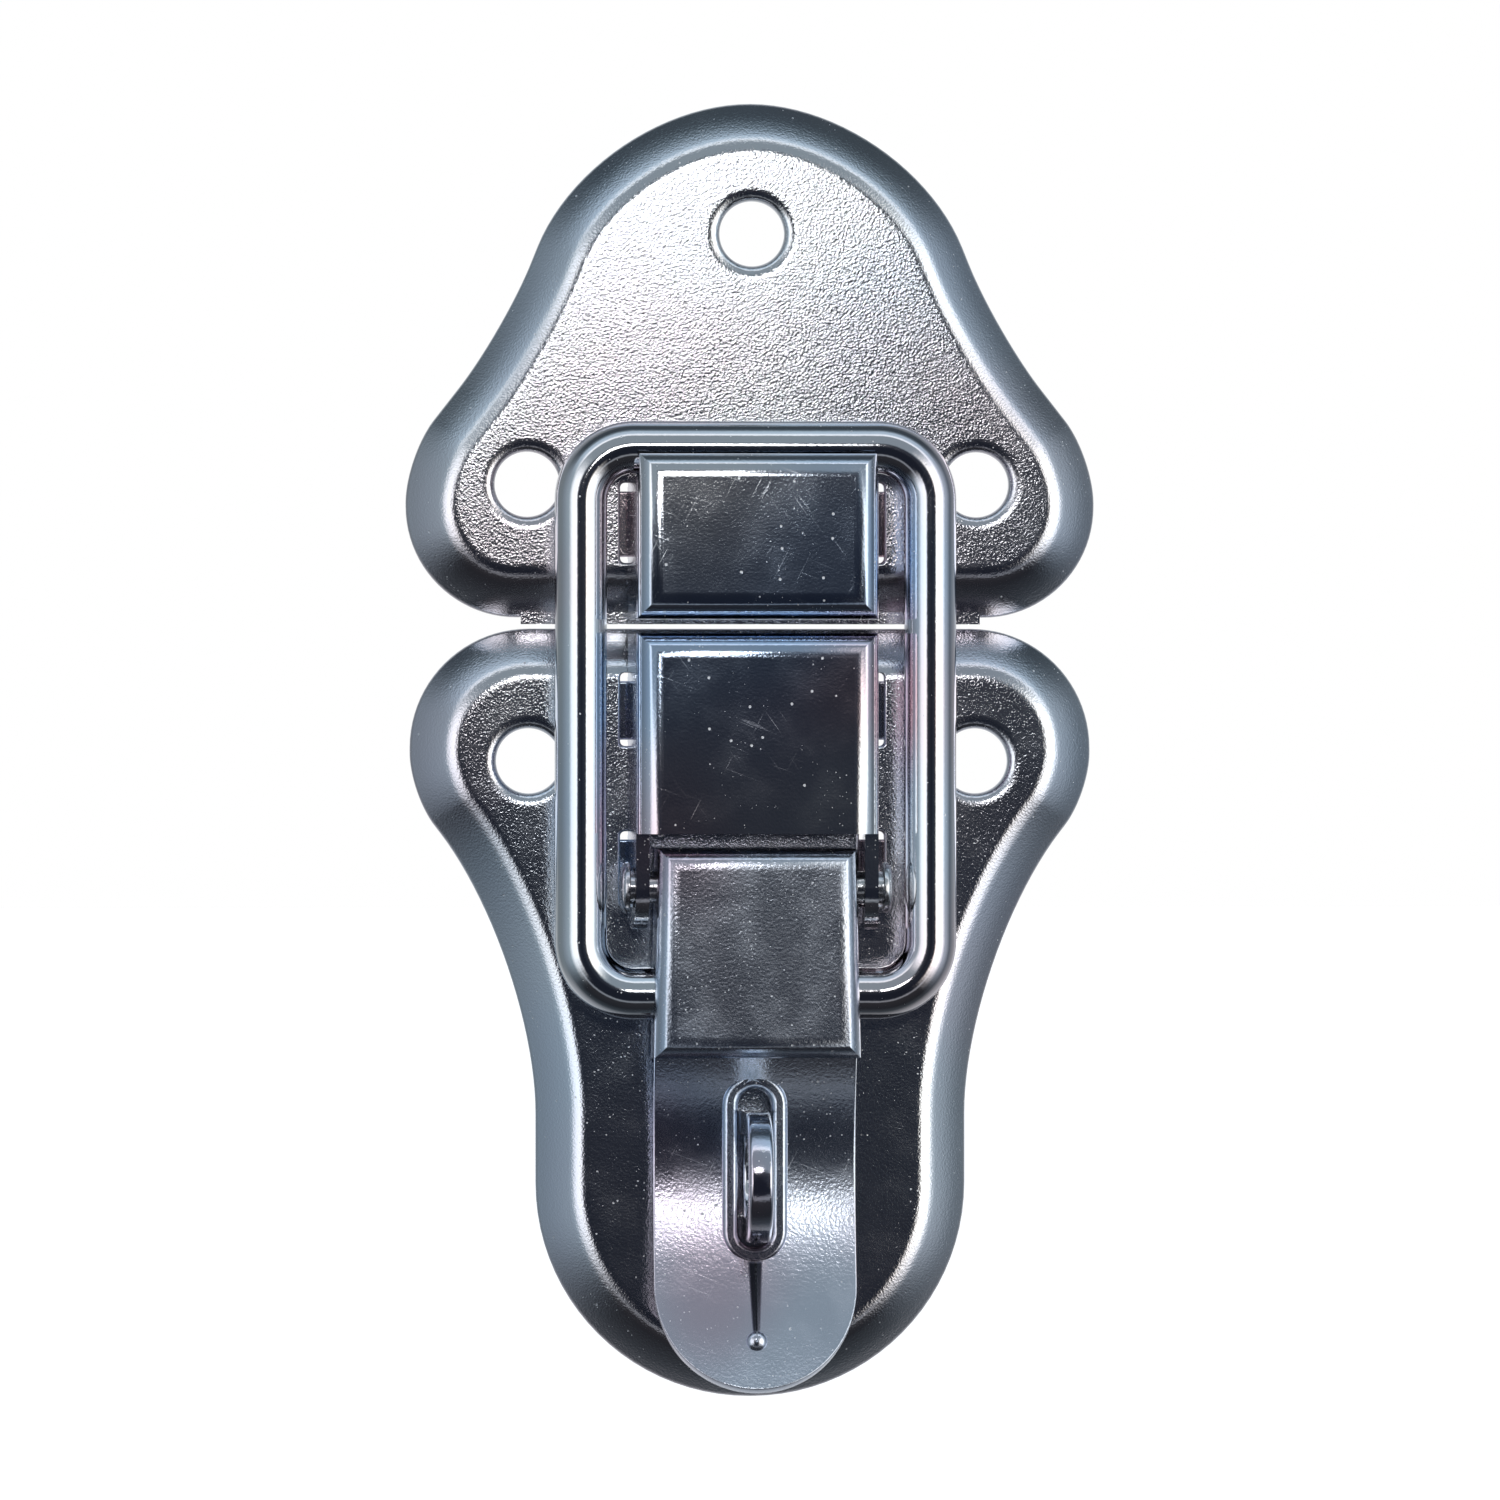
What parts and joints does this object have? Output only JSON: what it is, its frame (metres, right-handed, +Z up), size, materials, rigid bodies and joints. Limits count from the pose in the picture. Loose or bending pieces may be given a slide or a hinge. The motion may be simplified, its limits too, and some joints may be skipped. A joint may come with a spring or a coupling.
{
  "type": "toggle draw latch",
  "caption": "Chrome-plated pressed-steel draw latch: a hinged duck-bill lever pulls a wire bail over a keeper hook, with a padlock eye.",
  "frame": {"origin": "on the mounting surface, in the middle of the foot of the base plate's top edge, where the base meets the keeper", "axes": "+Z up the latch from the lever's tip to the keeper, +X to the right seen from the front, +Y into the case; the front faces -Y"},
  "size_m": [0.051, 0.0144, 0.0956],
  "materials": {
    "pebbled_chrome": "chrome plate over a fine pebbled grain",
    "bright_chrome": "bright chrome plate with fine scratches and pin marks",
    "wire_chrome": "bright chrome plate on drawn wire",
    "rivet_chrome": "plated, hammered rivet head"
  },
  "bodies": {
    "base": {"base_plate": "pebbled_chrome", "lever_bracket": "bright_chrome", "padlock_eye": "bright_chrome", "lever_pivot_pin": "rivet_chrome"},
    "keeper": {"keeper_plate": "pebbled_chrome", "keeper_hook": "bright_chrome"},
    "lever": {"lever": "bright_chrome"},
    "bail": {"bail": "wire_chrome"}
  },
  "joints": [
    {"name": "lever_hinge", "type": "hinge", "parent": "base", "child": "lever", "pos_m": [0, -0.0074, -0.0185], "axis": [-1, 0, 0], "range_deg": [0, 100]},
    {"name": "bail_hinge", "type": "hinge", "parent": "lever", "child": "bail", "pos_m": [0, -0.0068, -0.0263], "axis": [-1, 0, 0], "range_deg": [-86, 0]},
    {"name": "keeper_draw", "type": "slide", "parent": "base", "child": "keeper", "axis": [0, 0, 1], "range_m": [0, 0.0014]}
  ],
  "couplings": [
    {"joint": "bail_hinge", "follows": "lever_hinge", "ratio": -0.855},
    {"joint": "keeper_draw", "follows": "lever_hinge", "m_per_rad": 0.00075}
  ]
}
